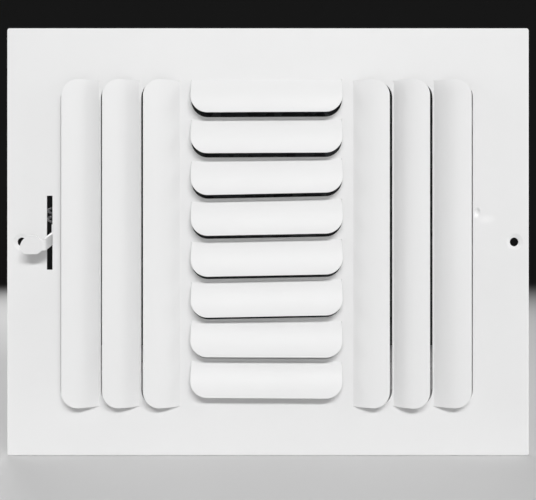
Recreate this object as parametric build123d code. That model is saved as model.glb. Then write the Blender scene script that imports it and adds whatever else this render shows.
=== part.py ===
"""Three-way supply grille: a stamped louvred face with a seven-blade damper behind it.

Frame: +X to the right and +Z up as the face is looked at, +Y back into the duct.
The origin lies midway between the two screw holes, on the back of the face sheet.
"""
from build123d import *
from math import ceil, cos, radians, sin
import os

# Face plate: a sheet with a return flange round its edge
FACE_WIDTH = 298.5
FACE_HEIGHT = 244.7
FACE_SHEET = 0.8
FACE_RETURN = 6.4
FACE_BEND = 1.2
FACE_CORNER = 1.4
CORNER_SLIT = 0.4

# Screw holes, in dimples as deep as the sheet
SCREW_INSET = 8.35
SCREW_HOLE_RADIUS = 2.5
DIMPLE_RADIUS = 4.75
DIMPLE_RIM = 0.6

# Louvres: tongues cut on three sides, creased at the hinge and crowned forward
LOUVRE_PITCH = 23.0
LOUVRE_LENGTH = 21.5
LOUVRE_BEND = 38.75
LOUVRE_CREASE = 1.2
LOUVRE_CORNER = 9.6
LOUVRE_MIDDLE = -0.9
SHEAR_GAP = 0.15
HINGE_OVERLAP = 0.5
CENTRE_WIDTH = 86.0
CENTRE_TOP_MARGIN = 29.45
SIDE_MARGIN = 29.35
SIDE_MIDDLE = -1.0
SIDE_FIRST_HINGE = 49.4

# How the press left them: each row's turn in degrees, the gap cut beyond the side louvres'
# tongues, and the one side louvre that is bent further
CENTRE_TURNS = (0.3, 0.3, 1.2, 1.1, 1.1, 1.1, -0.2, -0.3)
LEFT_SLACK = 0.6
RIGHT_SLACK = 1.0
RIGHT_BENDS = (LOUVRE_BEND, 46.5, LOUVRE_BEND)

# Lever slot in the face, beside the damper box
SLOT_OFFSET = 3.25
SLOT_WIDTH = 3.3
SLOT_LENGTH = 42.3
SLOT_MIDDLE = 5.3

# Damper box: two rails and two end plates of folded sheet, set in from the face's edge
BOX_INSET_X = 27.75
BOX_INSET_Z = 22.35
BOX_DEPTH = 38.0
BOX_SHEET = 0.8
BOX_BEND = 1.6
BOX_FLANGE = 8.0
REAR_LIP = 4.0
STOP_LIP = 13.7
END_PLATE_GAP = 0.1
LIP_GAP = 0.6
FLANGE_BREAK = 6.0
TAB_HEIGHT = 12.0
TAB_DEPTH = 22.0
TAB_START = 8.0
TAB_ROOT = 5.0

# Damper blades, which turn about lines along X
LARGEST_PITCH = 30.0
BLADE_MARGIN = 16.6
BLADE_LAP = 1.3
BLADE_SHEET = 0.6
BLADE_END_GAP = 1.5
BLADE_HEM = 3.2
PIVOT_DEPTH = 17.4
BLADE_REST_ANGLE = 18.0

# Pivot rods, which lie in the bead along each blade
ROD_RADIUS = 2.0
ROD_PROUD = 1.2
RUNNING_GAP = 0.06
BEAD_GAP = 0.05

# Crank ears lanced out of the blades, and the link bar that they carry
LINK_X = -64.7
LINK_SHEET = 1.2
LINK_WIDTH = 8.0
LINK_END = 5.0
LINK_SIDE_GAP = 0.3
CRANK_RADIUS = 9.2
CRANK_REST_ANGLE = 20.0
EAR_NOTCH = 10.0
EAR_EDGE = 2.9
LINK_RIVET_RADIUS = 1.5
LINK_RIVET_HEAD_RADIUS = 2.6
LINK_RIVET_HEAD = 0.9
LINK_RIVET_FIT = 0.02

# Lever on the rod of its blade
LEVER_SHEET = 1.6
LEVER_WIDTH = 6.3
PAD_STANDOFF = 12.4
LEVER_HUB_RADIUS = 5.5
LEVER_DROP = 14.0
LEVER_BEND = 2.2
PAD_LENGTH = 14.2
PAD_WIDTH = 10.4
PAD_TOP_RADIUS = 7.0
PAD_BOTTOM_RADIUS = 3.2
PAD_NECK = 2.6
PAD_NECK_RADIUS = 1.4
ROD_HEAD_RADIUS = 3.5
ROD_HEAD = 1.0
ROD_FIT = 0.02
WASHER_RADIUS = 4.2
WASHER_GAP = 0.08

# Spring between a tab of the left end plate and a seat on the lever
SPRING_OFFSET = 2.05
SPRING_DEPTH = 8.0
SPRING_BOTTOM = 10.25
SPRING_TOP = 21.75
SPRING_RADIUS = 1.8
SPRING_WIRE = 1.3
WIRE_SIDES = 6
SPRING_TURNS = 2.0
SPRING_GAP = 0.05
SEAT_LENGTH = 4.6

# Places worked out from the sizes above
FRONT = -FACE_SHEET
RIM = FACE_RETURN - FACE_SHEET
SCREW_X = FACE_WIDTH / 2 - SCREW_INSET
BOX_OUT_X = FACE_WIDTH / 2 - BOX_INSET_X
BOX_IN_X = BOX_OUT_X - BOX_SHEET
TAB_OUT_X = BOX_OUT_X + BOX_SHEET
BOX_OUT_Z = FACE_HEIGHT / 2 - BOX_INSET_Z
BOX_IN_Z = BOX_OUT_Z - BOX_SHEET
BOX_REAR = BOX_DEPTH - BOX_SHEET
CENTRE_FIRST_HINGE = FACE_HEIGHT / 2 - CENTRE_TOP_MARGIN
CENTRE_COUNT = int((BOX_OUT_Z + CENTRE_FIRST_HINGE) / LOUVRE_PITCH)
SIDE_COUNT = int((BOX_OUT_X - SIDE_FIRST_HINGE) / LOUVRE_PITCH)
SIDE_LENGTH = FACE_HEIGHT - 2 * SIDE_MARGIN
SLOT_X = -BOX_OUT_X - SLOT_OFFSET
SPRING_X = SLOT_X - SPRING_OFFSET
# An odd number of blades, so that the lever works the middle one
BLADE_SPAN = 2 * BOX_OUT_Z - BLADE_MARGIN
BLADE_COUNT = 2 * ceil((BLADE_SPAN / LARGEST_PITCH - 1) / 2) + 1
LEVER_BLADE = (BLADE_COUNT + 1) // 2
BLADE_PITCH = BLADE_SPAN / BLADE_COUNT
BLADE_HALF_WIDTH = BLADE_PITCH / 2 + BLADE_LAP
BLADE_END_X = BOX_IN_X - BLADE_END_GAP
LEVER_REACH = PIVOT_DEPTH + PAD_STANDOFF
LEVER_NEAR_X = SLOT_X + LEVER_SHEET / 2
LEVER_FAR_X = SLOT_X - LEVER_SHEET / 2
EAR_X = LINK_X - LINK_SIDE_GAP
BEAD_INNER = ROD_RADIUS + BEAD_GAP
BEAD_OUTER = BEAD_INNER + BLADE_SHEET
# The crank in a blade's own directions: across its sheet, and up along it
CRANK_ANGLE = radians(CRANK_REST_ANGLE + BLADE_REST_ANGLE)
CRANK_OUT = CRANK_RADIUS * cos(CRANK_ANGLE)
CRANK_UP = CRANK_RADIUS * sin(CRANK_ANGLE)


def pivot_height(number):
    """Height of a blade's pivot line; blades are counted from the top."""
    return SLOT_MIDDLE + (LEVER_BLADE - number) * BLADE_PITCH


def block(x, y, z):
    """A box given by its low and high places along each axis."""
    size = Box(x[1] - x[0], y[1] - y[0], z[1] - z[0])
    return Pos((x[0] + x[1]) / 2, (y[0] + y[1]) / 2, (z[0] + z[1]) / 2) * size


def rod(radius, x, y, z):
    """A round bar along X, from x[0] to x[1]."""
    return Pos((x[0] + x[1]) / 2, y, z) * Rot(0, 90, 0) * Cylinder(radius, x[1] - x[0])


def folded_section(points, thickness, radius, side):
    """A folded sheet's section: the line of one face, thickened to one side."""
    path = FilletPolyline(*points, radius=radius)
    return make_face(offset(path, amount=thickness, side=side))


# Face plate


def louvre_form(bend):
    """Crown radius, reach and lift of a louvre: a crease by the bend, then a crown back by it."""
    turn = radians(bend)
    radii = LOUVRE_LENGTH / turn
    return radii - LOUVRE_CREASE, radii * sin(turn), radii * (1 - cos(turn))


def tongue_outline(length, width):
    """A tongue from its hinge line at x = 0, with round corners at its lip."""
    outline = Rectangle(length, width, align=(Align.MIN, Align.CENTER))
    return fillet(outline.vertices().sort_by(Axis.X)[-2:], LOUVRE_CORNER)


def louvre_section(bend):
    """Section of a louvre from its hinge: x along the face, y forward."""
    half = FACE_SHEET / 2
    crown, reach, lift = louvre_form(bend)
    crease_centre = (0, LOUVRE_CREASE)
    crown_centre = (reach, lift - crown)
    edges = [
        CenterArc(crease_centre, LOUVRE_CREASE - half, -90, bend),
        CenterArc(crown_centre, crown + half, 90, bend),
        CenterArc(crease_centre, LOUVRE_CREASE + half, -90, bend),
        CenterArc(crown_centre, crown - half, 90, bend),
        Polyline((0, half), (-HINGE_OVERLAP, half), (-HINGE_OVERLAP, -half), (0, -half)),
        Line((reach, lift + half), (reach, lift - half)),
    ]
    return make_face(Curve() + edges)


def louvre_tongue(width, bend):
    """One pressed louvre with its hinge along Y and its lip towards +X and +Z."""
    sheet = extrude(Plane.XZ * louvre_section(bend), amount=width / 2, both=True)
    root = Rectangle(HINGE_OVERLAP, width, align=(Align.MAX, Align.CENTER))
    outline = tongue_outline(louvre_form(bend)[1], width) + root
    return sheet & extrude(outline, amount=LOUVRE_LENGTH, both=True)


def louvre_opening(width, slack):
    outline = tongue_outline(LOUVRE_LENGTH + slack, width)
    return extrude(outline, amount=FACE_SHEET, both=True)


def centre_louvres():
    """Hinge plane of each louvre in the middle bank, from the top."""
    planes = []
    for row in range(CENTRE_COUNT):
        hinge = (LOUVRE_MIDDLE, FRONT / 2, CENTRE_FIRST_HINGE - row * LOUVRE_PITCH)
        turn = radians(CENTRE_TURNS[row % len(CENTRE_TURNS)])
        planes.append(Plane(hinge, x_dir=(sin(turn), 0, -cos(turn)), z_dir=(0, -1, 0)))
    return planes


def side_louvres(side):
    """Hinge plane of each louvre at one side, from the middle outwards."""
    planes = []
    for column in range(SIDE_COUNT):
        across = LOUVRE_MIDDLE + side * (SIDE_FIRST_HINGE + column * LOUVRE_PITCH)
        planes.append(Plane((across, FRONT / 2, SIDE_MIDDLE), x_dir=(side, 0, 0), z_dir=(0, -1, 0)))
    return planes


def louvre_table():
    """Plane, width, bend and slack of every louvre."""
    table = [(plane, CENTRE_WIDTH, LOUVRE_BEND, 0) for plane in centre_louvres()]
    table += [(plane, SIDE_LENGTH, LOUVRE_BEND, LEFT_SLACK) for plane in side_louvres(-1)]
    for column, plane in enumerate(side_louvres(1)):
        bend = RIGHT_BENDS[column % len(RIGHT_BENDS)]
        table.append((plane, SIDE_LENGTH, bend, RIGHT_SLACK))
    return table


def face_tray():
    """The face sheet with its return flange, before anything is cut in it."""
    outline = RectangleRounded(FACE_WIDTH, FACE_HEIGHT, FACE_CORNER)
    outer = extrude(outline, amount=FACE_RETURN)
    outer = fillet(outer.faces().sort_by(Axis.Z)[-1].edges(), FACE_BEND)
    inline = offset(outline, amount=-FACE_SHEET)
    hollow = extrude(inline, amount=RIM)
    hollow = fillet(hollow.faces().sort_by(Axis.Z)[-1].edges(), FACE_BEND - FACE_SHEET)
    return Plane((0, RIM, 0), x_dir=(1, 0, 0), z_dir=(0, -1, 0)) * (outer - hollow)


def corner_slits():
    """Open seams where the return flanges meet at the corners."""
    edge_x = FACE_WIDTH / 2
    edge_z = FACE_HEIGHT / 2 - FACE_CORNER
    slit = block((edge_x - 2 * FACE_SHEET, edge_x), (FACE_BEND, RIM), (edge_z - CORNER_SLIT, edge_z))
    upper = [slit, mirror(slit, Plane.YZ)]
    return upper + [mirror(seam, Plane.XY) for seam in upper]


def screw_dimple():
    """The dished ring of sheet round a screw hole, about the Y axis."""
    ring = Polyline(
        (SCREW_HOLE_RADIUS, 0),
        (DIMPLE_RADIUS, FRONT),
        (DIMPLE_RADIUS + DIMPLE_RIM, FRONT),
        (DIMPLE_RADIUS + DIMPLE_RIM, 0),
        (SCREW_HOLE_RADIUS, FACE_SHEET),
        close=True,
    )
    return revolve(make_face(ring), Axis.Y)


def face_plate():
    face = face_tray() - corner_slits()
    for plane, width, bend, slack in louvre_table():
        face -= plane * louvre_opening(width, slack)
        face += plane * louvre_tongue(width - 2 * SHEAR_GAP, bend)
    slot = Plane.XZ * Pos(SLOT_X, SLOT_MIDDLE) * Rectangle(SLOT_WIDTH, SLOT_LENGTH)
    face -= extrude(slot, amount=FACE_RETURN, both=True)
    for side in (-1, 1):
        place = Pos(side * SCREW_X, 0, 0)
        hole = Rot(90, 0, 0) * Cylinder(DIMPLE_RADIUS + DIMPLE_RIM, 2 * FACE_RETURN)
        face = face - place * hole + place * screw_dimple()
    return face


# Damper box


def corner_tab():
    """The tab at the right end of the top rail, which laps over the end plate for welding."""
    line = [
        (BOX_OUT_X - TAB_ROOT, BOX_OUT_Z),
        (TAB_OUT_X, BOX_OUT_Z),
        (TAB_OUT_X, BOX_IN_Z - TAB_HEIGHT),
    ]
    section = folded_section(line, BOX_SHEET, BOX_BEND, Side.RIGHT)
    back = Plane((0, TAB_START + TAB_DEPTH, 0), x_dir=(1, 0, 0), z_dir=(0, -1, 0))
    return extrude(back * section, amount=TAB_DEPTH)


def top_rail(lip):
    """A rail over the box: front flange, wall, lip at the rear and two corner tabs."""
    line = [
        (0, BOX_OUT_Z + BOX_FLANGE),
        (0, BOX_IN_Z),
        (BOX_REAR, BOX_IN_Z),
        (BOX_REAR, BOX_IN_Z - lip),
    ]
    section = folded_section(line, BOX_SHEET, BOX_BEND, Side.LEFT)
    rail = extrude(Plane.YZ * section, amount=BOX_OUT_X, both=True)
    lip_end = BOX_IN_X - REAR_LIP - LIP_GAP
    corner_depth = (BOX_REAR - BOX_BEND - LIP_GAP, BOX_DEPTH)
    corner = block((lip_end, BOX_OUT_X), corner_depth, (BOX_IN_Z - lip, BOX_OUT_Z))
    rail -= [corner, mirror(corner, Plane.YZ)]
    tab = corner_tab()
    return rail + [tab, mirror(tab, Plane.YZ)]


def pivot_holes():
    span = (-FACE_WIDTH, FACE_WIDTH)
    radius = ROD_RADIUS + RUNNING_GAP
    numbers = range(1, BLADE_COUNT + 1)
    return [rod(radius, span, PIVOT_DEPTH, pivot_height(number)) for number in numbers]


def right_end():
    """An end plate between the rails: front flange, wall with pivot holes, rear lip."""
    line = [
        (BOX_OUT_X + BOX_FLANGE, 0),
        (BOX_IN_X, 0),
        (BOX_IN_X, BOX_REAR),
        (BOX_IN_X - REAR_LIP, BOX_REAR),
    ]
    section = folded_section(line, BOX_SHEET, BOX_BEND, Side.RIGHT)
    height = BOX_IN_Z - (BOX_BEND - BOX_SHEET) - END_PLATE_GAP
    return extrude(section, amount=height, both=True) - pivot_holes()


def left_end():
    """The right end's mirror, opened round the lever slot, with a tab for the spring."""
    plate = mirror(right_end(), Plane.YZ)
    break_half = SLOT_LENGTH / 2 + FLANGE_BREAK
    break_height = (SLOT_MIDDLE - break_half, SLOT_MIDDLE + break_half)
    plate -= block((-FACE_WIDTH / 2, -BOX_OUT_X), (0, BOX_BEND), break_height)
    tab_x = (SPRING_X + SPRING_RADIUS, -BOX_IN_X)
    tab_y = (SPRING_DEPTH - SEAT_LENGTH / 2, SPRING_DEPTH + SEAT_LENGTH / 2)
    tab_top = SPRING_TOP + BOX_SHEET
    window = (tab_top, tab_top + tab_x[1] - tab_x[0])
    plate -= block((-BOX_OUT_X, -BOX_IN_X), tab_y, window)
    return plate + block(tab_x, tab_y, (SPRING_TOP, tab_top))


# Damper blades


def blade_section():
    """Section of an upright blade: hemmed edges, and a bead that holds the rod."""
    half = BLADE_SHEET / 2
    wings = Rectangle(BLADE_SHEET, 2 * BLADE_HALF_WIDTH)
    hem = Pos(half, BLADE_HALF_WIDTH) * Rectangle(BLADE_SHEET, BLADE_HEM, align=(Align.MIN, Align.MAX))
    sheet = wings + hem + Rot(0, 0, 180) * hem
    front_half = Rectangle(2 * BEAD_OUTER, 2 * BEAD_OUTER, align=(Align.MAX, Align.CENTER))
    bead = Circle(BEAD_OUTER) & (Pos(half, 0) * front_half)
    return sheet + bead - Circle(BEAD_INNER)


def crank_ear():
    """The ear bent back from a blade, with the hole that the link rivet turns in."""
    arm = Rectangle(CRANK_OUT, 2 * EAR_EDGE, align=(Align.MIN, Align.CENTER))
    outline = Pos(0, CRANK_UP) * (arm + Pos(CRANK_OUT, 0) * Circle(EAR_EDGE))
    hole = Pos(CRANK_OUT, CRANK_UP) * Circle(LINK_RIVET_RADIUS + RUNNING_GAP)
    place = Plane((EAR_X, 0, 0), x_dir=(0, 1, 0), z_dir=(-1, 0, 0))
    # This plane's second direction points down, so the outline is mirrored upright
    return extrude(place * mirror(outline - hole, Plane.XZ), amount=BLADE_SHEET)


def upright_blade():
    """A blade standing straight up with its pivot line on the X axis."""
    blade = extrude(Plane.YZ * blade_section(), amount=BLADE_END_X, both=True)
    notch_height = (CRANK_UP - EAR_EDGE, BLADE_HALF_WIDTH + BLADE_HEM)
    blade -= block((EAR_X, EAR_X + EAR_NOTCH), (-BLADE_HEM, BLADE_HEM), notch_height)
    return blade + crank_ear()


def at_blade(number):
    """Where a blade stands at rest, leaning back at its top."""
    return Pos(0, PIVOT_DEPTH, pivot_height(number)) * Rot(-BLADE_REST_ANGLE, 0, 0)


def blade_rod(number):
    """A pivot rod; the lever's is longer at the left, with a head to hold the lever on."""
    end = BOX_OUT_X + ROD_PROUD
    height = pivot_height(number)
    if number != LEVER_BLADE:
        return rod(ROD_RADIUS, (-end, end), PIVOT_DEPTH, height)
    shank = rod(ROD_RADIUS, (LEVER_FAR_X, end), PIVOT_DEPTH, height)
    return shank + rod(ROD_HEAD_RADIUS, (LEVER_FAR_X - ROD_HEAD, LEVER_FAR_X), PIVOT_DEPTH, height)


# Link bar


def crank_pin_places():
    """Depth and height of each link rivet at rest."""
    lean = radians(CRANK_REST_ANGLE)
    depth = PIVOT_DEPTH + CRANK_RADIUS * cos(lean)
    rise = CRANK_RADIUS * sin(lean)
    return [(depth, pivot_height(number) + rise) for number in range(1, BLADE_COUNT + 1)]


def link_bar():
    places = crank_pin_places()
    depth, top = places[0]
    bottom = places[-1][1]
    outline = SlotOverall(top - bottom + 2 * LINK_END, LINK_WIDTH, rotation=90)
    strip = extrude(Plane.YZ * Pos(depth, (top + bottom) / 2) * outline, amount=LINK_SHEET)
    span = (-LINK_SHEET, 2 * LINK_SHEET)
    holes = [rod(LINK_RIVET_RADIUS + LINK_RIVET_FIT, span, y, z) for y, z in places]
    return Pos(LINK_X, 0, 0) * (strip - holes)


def link_rivets():
    """Rivets set flush in the link bar, each with its head on the far side of an ear."""
    far = EAR_X - BLADE_SHEET - LINK_SIDE_GAP
    rivets = []
    for y, z in crank_pin_places():
        shank = rod(LINK_RIVET_RADIUS, (far, LINK_X + LINK_SHEET), y, z)
        head = rod(LINK_RIVET_HEAD_RADIUS, (far - LINK_RIVET_HEAD, far), y, z)
        rivets.append(shank + head)
    return Compound(rivets)


# Lever


def pad_outline():
    """Outline of the finger pad and its neck, seen from the front."""
    end_x = LEVER_NEAR_X - PAD_LENGTH
    neck_x = LEVER_NEAR_X - LEVER_BEND
    wide_x = neck_x - PAD_NECK
    arm = LEVER_WIDTH / 2
    pad = PAD_WIDTH / 2
    upper = [(LEVER_NEAR_X, arm), (neck_x, arm), (wide_x, pad), (end_x, pad)]
    lower = [(x, -z) for x, z in reversed(upper)]
    outline = make_face(Polyline(*upper, *lower, close=True))
    top_left = outline.vertices().group_by(Axis.X)[0].sort_by(Axis.Y)[-1]
    outline = fillet(top_left, PAD_TOP_RADIUS)
    bottom_left = outline.vertices().group_by(Axis.X)[0].sort_by(Axis.Y)[0]
    outline = fillet(bottom_left, PAD_BOTTOM_RADIUS)
    wide = [v for v in outline.vertices() if abs(v.X - wide_x) < ROD_FIT]
    return fillet(wide, PAD_NECK_RADIUS)


def straight_lever():
    """The lever pointing straight forward from its pivot on the X axis."""
    line = [
        (LEVER_NEAR_X, 0),
        (LEVER_NEAR_X, -LEVER_REACH),
        (LEVER_NEAR_X - PAD_LENGTH, -LEVER_REACH),
    ]
    strip = extrude(folded_section(line, LEVER_SHEET, LEVER_BEND, Side.RIGHT), PAD_WIDTH, both=True)
    arm_z = (-LEVER_WIDTH / 2, LEVER_WIDTH / 2)
    arm = block((LEVER_FAR_X, LEVER_NEAR_X), (-LEVER_REACH, 0), arm_z)
    front = Plane((0, -LEVER_REACH + LEVER_BEND, 0), x_dir=(1, 0, 0), z_dir=(0, -1, 0))
    pad = extrude(front * pad_outline(), amount=LEVER_BEND)
    hub = rod(LEVER_HUB_RADIUS, (LEVER_FAR_X, LEVER_NEAR_X), 0, 0)
    return (strip & (arm + pad)) + hub


def at_lever():
    return Pos(0, PIVOT_DEPTH, SLOT_MIDDLE) * Rot(LEVER_DROP, 0, 0)


def lever():
    """The lever as it stands at rest, with the spring's seat standing on its top edge."""
    turned = at_lever() * straight_lever()
    seat_y = (SPRING_DEPTH - SEAT_LENGTH / 2, SPRING_DEPTH + SEAT_LENGTH / 2)
    seat = block((LEVER_FAR_X, LEVER_NEAR_X), seat_y, (SLOT_MIDDLE, SPRING_BOTTOM))
    bore = rod(ROD_RADIUS + ROD_FIT, (LEVER_FAR_X, LEVER_NEAR_X), PIVOT_DEPTH, SLOT_MIDDLE)
    return turned + seat - bore


def lever_washer():
    """Spacer ring between the end plate and the lever."""
    span = (LEVER_NEAR_X + WASHER_GAP, -BOX_OUT_X - WASHER_GAP)
    ring = rod(WASHER_RADIUS, span, PIVOT_DEPTH, SLOT_MIDDLE)
    return ring - rod(ROD_RADIUS + ROD_FIT, span, PIVOT_DEPTH, SLOT_MIDDLE)


def lever_spring():
    height = SPRING_TOP - SPRING_BOTTOM - SPRING_WIRE - 2 * SPRING_GAP
    coil = Helix(height / SPRING_TURNS, height, SPRING_RADIUS, lefthand=True)
    wire = Plane(coil @ 0, z_dir=coil % 0) * RegularPolygon(SPRING_WIRE / 2, WIRE_SIDES)
    start = SPRING_BOTTOM + SPRING_GAP + SPRING_WIRE / 2
    return Pos(SPRING_X, SPRING_DEPTH, start) * sweep(wire, path=coil, is_frenet=True)


pieces = {
    "face_plate": face_plate(),
    "damper_top_rail": top_rail(REAR_LIP),
    "damper_bottom_rail": mirror(top_rail(STOP_LIP), Plane.XY),
    "damper_left_end": left_end(),
    "damper_right_end": right_end(),
    "link_bar": link_bar(),
    "link_rivets": link_rivets(),
    "lever": lever(),
    "lever_washer": lever_washer(),
    "lever_spring": lever_spring(),
}
for number in range(1, BLADE_COUNT + 1):
    pieces[f"blade_{number}"] = at_blade(number) * upright_blade()
    pieces[f"blade_{number}_rod"] = blade_rod(number)

os.makedirs("parts", exist_ok=True)
for name, piece in pieces.items():
    export_step(piece, f"parts/{name}.step")
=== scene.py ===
"""Looks of the three-way supply grille: finishes, lever spring, weld marks, studio and camera."""
from math import cos, pi, sin, tau

import bmesh
import bpy
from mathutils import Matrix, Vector


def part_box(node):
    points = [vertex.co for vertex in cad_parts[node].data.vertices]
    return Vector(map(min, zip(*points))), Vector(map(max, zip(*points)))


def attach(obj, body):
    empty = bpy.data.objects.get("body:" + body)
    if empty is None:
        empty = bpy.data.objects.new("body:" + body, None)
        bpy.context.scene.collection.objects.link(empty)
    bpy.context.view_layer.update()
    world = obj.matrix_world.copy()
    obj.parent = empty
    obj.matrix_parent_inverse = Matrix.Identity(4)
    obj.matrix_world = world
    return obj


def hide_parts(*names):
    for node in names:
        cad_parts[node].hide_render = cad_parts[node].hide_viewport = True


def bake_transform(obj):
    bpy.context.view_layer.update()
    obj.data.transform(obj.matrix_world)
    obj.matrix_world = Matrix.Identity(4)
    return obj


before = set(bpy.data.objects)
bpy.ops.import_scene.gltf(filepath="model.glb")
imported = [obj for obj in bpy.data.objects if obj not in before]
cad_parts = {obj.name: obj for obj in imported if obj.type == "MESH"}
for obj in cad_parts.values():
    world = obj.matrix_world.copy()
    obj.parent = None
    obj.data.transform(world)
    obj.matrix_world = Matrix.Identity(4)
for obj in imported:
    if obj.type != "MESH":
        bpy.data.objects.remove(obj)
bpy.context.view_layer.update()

MM = 0.001

# Camera, square to the face and a little below its middle
CAMERA_PLACE = (0, -415.8 * MM, -4.6 * MM)
CAMERA_LENS = 48.8

# Studio: a round floor that sweeps up into a wall, pale round the object and dark at the wall
FLOOR_RADIUS = 2.6
COVE_RADIUS = 0.8
WALL_HEIGHT = 3.0
FLOOR_RINGS = 4
COVE_STEPS = 16
ROUND_STEPS = 96
FLOOR_TONE = (0.68, 0.68, 0.68)
WALL_TONE = (0.02, 0.02, 0.02)
FADE_START = 0.8
FADE_END = 2.4
PAPER_ROUGHNESS = 0.9
PAPER_SPECULAR = 0.2

# Lamps: place, width and height in metres, and power in watts
LAMPS = {
    "key_lamp": ((0.30, -2.40, 1.45), (2.00, 0.36), 62.0),
    "front_lamp": ((0.10, -2.40, 0.10), (1.60, 1.60), 7.0),
    "left_lamp": ((-1.90, -0.20, 0.40), (0.90, 0.90), 10.4),
    "right_lamp": ((1.90, -0.20, 0.40), (0.90, 0.90), 10.4),
    "back_lamp": ((-0.60, 1.60, 0.90), (0.90, 0.90), 15.0),
}
WORLD_TONE = (1, 1, 1)
WORLD_LIGHT = 0.16

# White paint; each noise is a scale and a detail
PAINT_TONES = ((0.795, 0.795, 0.795), (0.83, 0.83, 0.83))
PAINT_PATCHES = (14, 4)
PAINT_ROUGHNESS = (0.46, 0.58)
PAINT_GLOSS = (60, 3)
PAINT_DIFFUSE_ROUGHNESS = 0.6
PEEL = (800, 2)
PEEL_DEPTH = 0.012 * MM

# Zinc coat of the blades and the link bar, its tones near black as painted shade for the dark inside
# of the box
SHADE_DARK_ZINC_TONES = ((0.03, 0.031, 0.033), (0.085, 0.088, 0.092))
GALVANISED_ROUGHNESS = (0.38, 0.58)
GALVANISED_METALLIC = 0.6
CRYSTAL_SCALE = 170
COAT_GRAIN = (500, 2)
COAT_GRAIN_DEPTH = 0.015 * MM

# Bright metals, whose scratches are scaled along each axis
ZINC_TONES = ((0.50, 0.51, 0.52), (0.68, 0.69, 0.70))
ZINC_SCRATCHES = (60, 1500, 1500)
# Spring wire tones: dull grey steel, darkened further as painted shade of the slot the spring sits
# behind
SLOT_SHADE_WIRE_TONES = ((0.12, 0.12, 0.125), (0.20, 0.20, 0.205))
WIRE_SCRATCHES = (900, 900, 900)
METAL_PATCHES = (180, 3)
METAL_ROUGHNESS = (0.24, 0.48)
SCRATCH_NOISE = (1, 3)
SCRATCH_DEPTH = 0.01 * MM

# Edges of the sheets
EDGE_RADIUS = 0.25 * MM
EDGE_SAMPLES = 6

# Marks on the face: middle and half size of each oval, with a dent's depth, or with the lighter tone
# of a painted highlight where the dented face catches the light
DENTS = (
    ((119.4 * MM, 17.4 * MM), (2.4 * MM, 3.0 * MM), 0.75 * MM),
)
# Painted highlights: lighter paint where the dent and the bulge beside it catch the light
PAINTED_HIGHLIGHTS = (
    ((124.6 * MM, 13.0 * MM), (8.0 * MM, 4.0 * MM), (0.87, 0.87, 0.87)),
    ((118.9 * MM, 15.0 * MM), (2.2 * MM, 2.4 * MM), (0.97, 0.97, 0.97)),
)

# Lever spring, of round wire; its ends are shares of the wire's radius
SPRING_WIRE = 1.3 * MM
SPRING_RADIUS = 1.8 * MM
SPRING_TURNS = 2.0
TURN_STEPS = 36
WIRE_STEPS = 12
SHOULDER_SHARE = 0.8
TIP_SHARE = 0.4
TIP_REACH = 0.4

# Spot welds where the box pieces lap each other and the face: rings by radius and height, then places
WELD_PROFILE = (
    (1.3 * MM, 0.03 * MM),
    (1.8 * MM, 0.15 * MM),
    (2.2 * MM, 0.12 * MM),
    (2.6 * MM, -0.02 * MM),
)
WELD_STEPS = 28
RAIL_WELDS_X = (-100 * MM, -50 * MM, 0, 50 * MM, 100 * MM)
END_WELDS_Z = (-80 * MM, -45 * MM, 45 * MM, 80 * MM)
TAB_WELDS_Y = (14 * MM, 24 * MM)
TAB_WELD_INSET = 14 * MM
FLANGE_WIDTH = 8 * MM
SHEET = 0.8 * MM


def shader_tree(name):
    """A new material with its tree, its surface shader and the object's own coordinates."""
    material = bpy.data.materials.new(name)
    material.use_nodes = True
    tree = material.node_tree
    shader = tree.nodes["Principled BSDF"]
    coordinates = tree.nodes.new("ShaderNodeTexCoord").outputs["Object"]
    return material, tree, shader, coordinates


def noise(tree, coordinates, scale, detail):
    """A value from 0 to 1 that changes in soft patches."""
    texture = tree.nodes.new("ShaderNodeTexNoise")
    texture.inputs["Scale"].default_value = scale
    texture.inputs["Detail"].default_value = detail
    tree.links.new(coordinates, texture.inputs["Vector"])
    return texture.outputs["Fac"]


def stretched(tree, coordinates, scale):
    """Coordinates scaled by a different amount along each axis."""
    mapping = tree.nodes.new("ShaderNodeMapping")
    mapping.inputs["Scale"].default_value = scale
    tree.links.new(coordinates, mapping.inputs["Vector"])
    return mapping.outputs["Vector"]


def spread(tree, value, low, high):
    """A value from 0 to 1 carried over to a range."""
    reach = tree.nodes.new("ShaderNodeMapRange")
    reach.inputs["To Min"].default_value = low
    reach.inputs["To Max"].default_value = high
    tree.links.new(value, reach.inputs["Value"])
    return reach.outputs["Result"]


def tones(tree, value, dark, light):
    """A colour between two tones."""
    ramp = tree.nodes.new("ShaderNodeValToRGB")
    ramp.color_ramp.elements[0].color = (*dark, 1)
    ramp.color_ramp.elements[1].color = (*light, 1)
    tree.links.new(value, ramp.inputs["Fac"])
    return ramp.outputs["Color"]


def rounded_edges(tree):
    """Normals that turn round the edges of a sheet."""
    edge = tree.nodes.new("ShaderNodeBevel")
    edge.samples = EDGE_SAMPLES
    edge.inputs["Radius"].default_value = EDGE_RADIUS
    return edge.outputs["Normal"]


def relief(tree, height, depth, normal):
    """Normals with a height laid over them; depth is what a height of 1 stands for."""
    bump = tree.nodes.new("ShaderNodeBump")
    bump.inputs["Strength"].default_value = 1
    bump.inputs["Distance"].default_value = depth
    tree.links.new(height, bump.inputs["Height"])
    tree.links.new(normal, bump.inputs["Normal"])
    return bump.outputs["Normal"]


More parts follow.
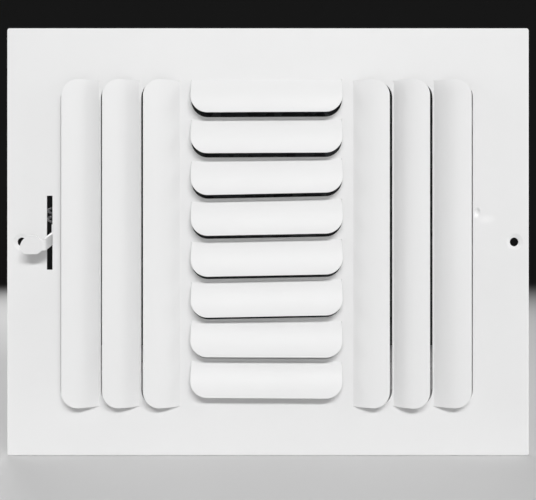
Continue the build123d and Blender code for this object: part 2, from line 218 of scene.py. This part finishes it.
def oval(tree, coordinates, middle, half_size):
    """A value that rises smoothly from 0 in the middle of an oval to 1 all round it."""
    place = tree.nodes.new("ShaderNodeVectorMath")
    place.operation = "SUBTRACT"
    place.inputs[1].default_value = (middle[0], 0, middle[1])
    tree.links.new(coordinates, place.inputs[0])
    share = tree.nodes.new("ShaderNodeVectorMath")
    share.operation = "MULTIPLY"
    share.inputs[1].default_value = (1 / half_size[0], 0, 1 / half_size[1])
    tree.links.new(place.outputs["Vector"], share.inputs[0])
    distance = tree.nodes.new("ShaderNodeVectorMath")
    distance.operation = "LENGTH"
    tree.links.new(share.outputs["Vector"], distance.inputs[0])
    smooth = tree.nodes.new("ShaderNodeMapRange")
    smooth.interpolation_type = "SMOOTHERSTEP"
    tree.links.new(distance.outputs["Value"], smooth.inputs["Value"])
    return smooth.outputs["Result"]


def marked(tree, edge, tone, colour):
    """A tone inside an oval and a colour all round it."""
    mix = tree.nodes.new("ShaderNodeMixRGB")
    mix.inputs["Color1"].default_value = (*tone, 1)
    tree.links.new(edge, mix.inputs["Fac"])
    tree.links.new(colour, mix.inputs["Color2"])
    return mix.outputs["Color"]


def white_paint(name, dents=(), painted_highlights=()):
    """Powder coat: faint orange peel, slow changes of tone and gloss."""
    material, tree, shader, coordinates = shader_tree(name)
    colour = tones(tree, noise(tree, coordinates, *PAINT_PATCHES), *PAINT_TONES)
    # Painted highlights: lighter paint inside each oval, standing for light caught by the dent
    for middle, half_size, tone in painted_highlights:
        colour = marked(tree, oval(tree, coordinates, middle, half_size), tone, colour)
    tree.links.new(colour, shader.inputs["Base Color"])
    gloss = noise(tree, coordinates, *PAINT_GLOSS)
    tree.links.new(spread(tree, gloss, *PAINT_ROUGHNESS), shader.inputs["Roughness"])
    shader.inputs["Diffuse Roughness"].default_value = PAINT_DIFFUSE_ROUGHNESS
    normal = relief(tree, noise(tree, coordinates, *PEEL), PEEL_DEPTH, rounded_edges(tree))
    for middle, half_size, depth in dents:
        normal = relief(tree, oval(tree, coordinates, middle, half_size), depth, normal)
    tree.links.new(normal, shader.inputs["Normal"])
    return material


def dark_galvanised():
    """Zinc coat with its crystals showing as patches of tone, darkened to near black as painted shade
    for the inside of the box.
    """
    material, tree, shader, coordinates = shader_tree("dark_galvanised")
    crystals = tree.nodes.new("ShaderNodeTexVoronoi")
    crystals.inputs["Scale"].default_value = CRYSTAL_SCALE
    tree.links.new(coordinates, crystals.inputs["Vector"])
    split = tree.nodes.new("ShaderNodeSeparateColor")
    tree.links.new(crystals.outputs["Color"], split.inputs["Color"])
    colour = tones(tree, split.outputs["Red"], *SHADE_DARK_ZINC_TONES)
    tree.links.new(colour, shader.inputs["Base Color"])
    roughness = spread(tree, split.outputs["Green"], *GALVANISED_ROUGHNESS)
    tree.links.new(roughness, shader.inputs["Roughness"])
    shader.inputs["Metallic"].default_value = GALVANISED_METALLIC
    grain = noise(tree, coordinates, *COAT_GRAIN)
    normal = relief(tree, grain, COAT_GRAIN_DEPTH, rounded_edges(tree))
    tree.links.new(normal, shader.inputs["Normal"])
    return material


def bright_metal(name, metal_tones, scratch_scale):
    """Bare or plated metal with fine scratches."""
    material, tree, shader, coordinates = shader_tree(name)
    patches = noise(tree, coordinates, *METAL_PATCHES)
    tree.links.new(tones(tree, patches, *metal_tones), shader.inputs["Base Color"])
    scratches = noise(tree, stretched(tree, coordinates, scratch_scale), *SCRATCH_NOISE)
    tree.links.new(spread(tree, scratches, *METAL_ROUGHNESS), shader.inputs["Roughness"])
    shader.inputs["Metallic"].default_value = 1
    normal = relief(tree, scratches, SCRATCH_DEPTH, rounded_edges(tree))
    tree.links.new(normal, shader.inputs["Normal"])
    return material


def studio_paper():
    """Matt paper that darkens with its distance from the object."""
    material, tree, shader, coordinates = shader_tree("studio_paper")
    distance = tree.nodes.new("ShaderNodeVectorMath")
    distance.operation = "LENGTH"
    tree.links.new(coordinates, distance.inputs[0])
    fade = tree.nodes.new("ShaderNodeMapRange")
    fade.interpolation_type = "SMOOTHSTEP"
    fade.inputs["From Min"].default_value = FADE_START
    fade.inputs["From Max"].default_value = FADE_END
    tree.links.new(distance.outputs["Value"], fade.inputs["Value"])
    paper = tones(tree, fade.outputs["Result"], FLOOR_TONE, WALL_TONE)
    tree.links.new(paper, shader.inputs["Base Color"])
    shader.inputs["Roughness"].default_value = PAPER_ROUGHNESS
    shader.inputs["Specular IOR Level"].default_value = PAPER_SPECULAR
    return material


def mesh_piece(name, build, material):
    """A smooth mesh object whose form the given function builds."""
    mesh = bpy.data.meshes.new(name)
    form = bmesh.new()
    build(form)
    bmesh.ops.recalc_face_normals(form, faces=form.faces)
    form.to_mesh(mesh)
    form.free()
    mesh.shade_smooth()
    mesh.materials.append(material)
    piece = bpy.data.objects.new(name, mesh)
    bpy.context.scene.collection.objects.link(piece)
    return piece


def round_steps(count):
    """Cosine and sine at even steps round a circle."""
    angles = [tau * i / count for i in range(count)]
    return [(cos(angle), sin(angle)) for angle in angles]


def join_rings(form, rings):
    """Faces between rings of vertices that follow each other."""
    for low, high in zip(rings, rings[1:]):
        for i in range(len(low)):
            k = (i + 1) % len(low)
            form.faces.new((low[i], low[k], high[k], high[i]))


def spring_line():
    """Points and directions along the wire's middle, from the bottom of the coil up."""
    low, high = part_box("lever_spring")
    middle = (low + high) / 2
    rise = high.z - low.z - SPRING_WIRE
    steps = int(SPRING_TURNS * TURN_STEPS)
    line = []
    for i in range(steps + 1):
        turn = -tau * SPRING_TURNS * i / steps
        side = Vector((cos(turn), sin(turn), 0))
        along = Vector((sin(turn), -cos(turn), rise / (tau * SPRING_TURNS * SPRING_RADIUS)))
        height = Vector((0, 0, rise * (i / steps - 0.5)))
        line.append((middle + SPRING_RADIUS * side + height, along.normalized()))
    return line


def wire_ring(form, place, along, radius):
    """A ring of vertices round the wire, square to its direction."""
    side = along.cross(Vector((0, 0, 1))).normalized()
    up = side.cross(along)
    ring = []
    for across, rise in round_steps(WIRE_STEPS):
        ring.append(form.verts.new(place + radius * (across * side + rise * up)))
    return ring


def spring_form(form):
    """A coil of round wire with rounded ends."""
    radius = SPRING_WIRE / 2
    line = spring_line()
    tip_radius = TIP_SHARE * radius
    tip_reach = TIP_REACH * radius
    place, along = line[0]
    rings = [
        wire_ring(form, place - tip_reach * along, along, tip_radius),
        wire_ring(form, place, along, SHOULDER_SHARE * radius),
    ]
    rings += [wire_ring(form, place, along, radius) for place, along in line]
    place, along = line[-1]
    rings.append(wire_ring(form, place + tip_reach * along, along, tip_radius))
    join_rings(form, rings)
    form.faces.new(rings[0])
    form.faces.new(rings[-1])


def lever_spring(material):
    """The coil between the frame's seat and the lever, which presses it."""
    spring = mesh_piece("coil_spring", spring_form, material)
    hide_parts("lever_spring")
    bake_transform(spring)


def weld_places():
    """Middle and outward direction of each spot weld."""
    places = []
    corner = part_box("damper_top_rail")[1]
    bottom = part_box("damper_bottom_rail")[0].z
    back = Vector((0, 1, 0))
    for x in RAIL_WELDS_X:
        places.append((Vector((x, SHEET, corner.z - FLANGE_WIDTH / 2)), back))
        places.append((Vector((x, SHEET, bottom + FLANGE_WIDTH / 2)), back))
    for node, side in (("damper_left_end", -1), ("damper_right_end", 1)):
        low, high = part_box(node)
        flange = (low.x if side < 0 else high.x) - side * FLANGE_WIDTH / 2
        for z in END_WELDS_Z:
            places.append((Vector((flange, SHEET, z)), back))
        for y in TAB_WELDS_Y:
            for z in (corner.z - TAB_WELD_INSET, bottom + TAB_WELD_INSET):
                places.append((Vector((side * corner.x, y, z)), Vector((side, 0, 0))))
    return places


def weld_form(form):
    """Shallow ringed marks that the welding tips leave."""
    for place, outward in weld_places():
        turn = outward.to_track_quat("Z", "Y")
        rings = []
        for radius, height in WELD_PROFILE:
            ring = []
            for across, up in round_steps(WELD_STEPS):
                point = Vector((radius * across, radius * up, height))
                ring.append(form.verts.new(place + turn @ point))
            rings.append(ring)
        join_rings(form, rings)
        form.faces.new(rings[0])


def spot_welds(material):
    """The weld marks, painted over with the box."""
    welds = mesh_piece("spot_welds", weld_form, material)
    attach(welds, "frame")


def floor_form(form):
    """A flat round floor, a quarter-round cove and a wall."""
    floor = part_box("face_plate")[0].z
    profile = [(FLOOR_RADIUS * i / FLOOR_RINGS, floor) for i in range(1, FLOOR_RINGS + 1)]
    for i in range(1, COVE_STEPS + 1):
        angle = pi / 2 * i / COVE_STEPS
        out = FLOOR_RADIUS + COVE_RADIUS * sin(angle)
        profile.append((out, floor + COVE_RADIUS * (1 - cos(angle))))
    profile.append((FLOOR_RADIUS + COVE_RADIUS, floor + WALL_HEIGHT))
    rings = []
    for radius, height in profile:
        ring = []
        for across, along in round_steps(ROUND_STEPS):
            ring.append(form.verts.new((radius * across, radius * along, height)))
        rings.append(ring)
    join_rings(form, rings)
    form.faces.new(rings[0])


def area_lamp(name, place, size, power):
    """A soft lamp, upright, that looks at the origin."""
    lamp = bpy.data.lights.new(name, "AREA")
    lamp.shape = "RECTANGLE"
    lamp.size, lamp.size_y = size
    lamp.energy = power
    stand = bpy.data.objects.new(name, lamp)
    stand.location = place
    stand.rotation_euler = Vector(place).to_track_quat("Z", "Y").to_euler()
    stand.visible_camera = False
    bpy.context.scene.collection.objects.link(stand)


def studio():
    """The floor and wall, the lamps and a weak even light from all round."""
    mesh_piece("studio_floor", floor_form, studio_paper())
    for name, lamp in LAMPS.items():
        area_lamp(name, *lamp)
    world = bpy.data.worlds.new("studio_light")
    world.use_nodes = True
    background = world.node_tree.nodes["Background"]
    background.inputs["Color"].default_value = (*WORLD_TONE, 1)
    background.inputs["Strength"].default_value = WORLD_LIGHT
    bpy.context.scene.world = world
    bpy.context.scene.view_settings.view_transform = "Standard"


def camera():
    """A level camera that looks straight at the face."""
    lens = bpy.data.cameras.new("camera")
    lens.lens = CAMERA_LENS
    stand = bpy.data.objects.new("camera", lens)
    stand.location = CAMERA_PLACE
    stand.rotation_euler = (pi / 2, 0, 0)
    bpy.context.scene.collection.objects.link(stand)
    bpy.context.scene.camera = stand


def finish_nodes():
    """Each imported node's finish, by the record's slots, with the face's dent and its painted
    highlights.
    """
    finishes = {
        "white_paint": white_paint("white_paint"),
        "dark_galvanised": dark_galvanised(),
        "zinc_plate": bright_metal("zinc_plate", ZINC_TONES, ZINC_SCRATCHES),
        "spring_wire": bright_metal("spring_wire", SLOT_SHADE_WIRE_TONES, WIRE_SCRATCHES),
    }
    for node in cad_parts.values():
        for slot in node.material_slots:
            slot.material = finishes[slot.material.name.split(".")[0]]
    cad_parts["face_plate"].material_slots[0].material = white_paint("face_paint", DENTS, PAINTED_HIGHLIGHTS)
    return finishes


finishes = finish_nodes()
lever_spring(finishes["spring_wire"])
spot_welds(finishes["white_paint"])
studio()
camera()
